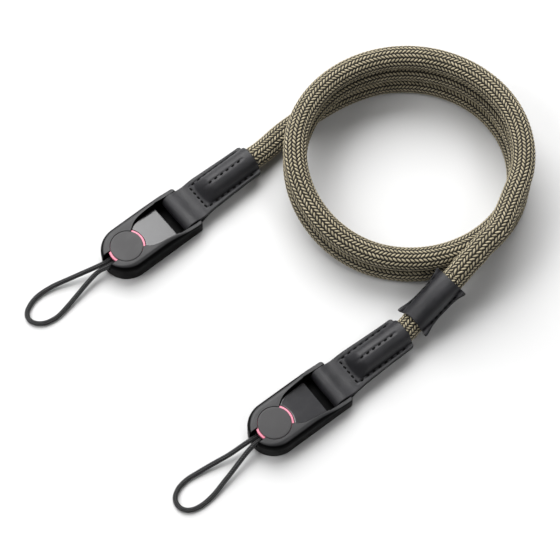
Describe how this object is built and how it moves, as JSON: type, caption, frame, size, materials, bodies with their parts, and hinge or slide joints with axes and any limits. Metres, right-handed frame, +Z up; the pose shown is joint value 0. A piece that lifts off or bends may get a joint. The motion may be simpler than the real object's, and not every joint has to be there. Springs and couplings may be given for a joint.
{
  "type": "camera neck strap",
  "caption": "Neck strap of thick braided rope lying in a coil, with stitched leather ends, quick-release buckles and thin cord loops",
  "frame": {"origin": "middle of the strap's box, on the surface it lies on, without the two thin cord loops", "axes": "+Z up; +X to the right and +Y away from the viewer, as in the picture"},
  "size_m": [0.2465, 0.2312, 0.0351],
  "materials": {
    "rope_braid": "woven khaki and dark brown yarn",
    "leather": "smooth satin black",
    "housing_plastic": "satin black",
    "ramp_plastic": "smooth dark grey",
    "disc_plastic": "satin dark grey",
    "ring_red": "plain rose red",
    "anchor_cord_braid": "fine black braid"
  },
  "bodies": {
    "root": {"rope": "rope_braid", "leather_keeper": "leather", "left_leather_tab": "leather", "left_buckle_housing": "housing_plastic", "left_release_ramp": "ramp_plastic", "left_anchor_disc": "disc_plastic", "left_anchor_ring": "ring_red", "left_anchor_cord": "anchor_cord_braid", "right_leather_tab": "leather", "right_buckle_housing": "housing_plastic", "right_release_ramp": "ramp_plastic", "right_anchor_disc": "disc_plastic", "right_anchor_ring": "ring_red", "right_anchor_cord": "anchor_cord_braid"}
  },
  "joints": []
}
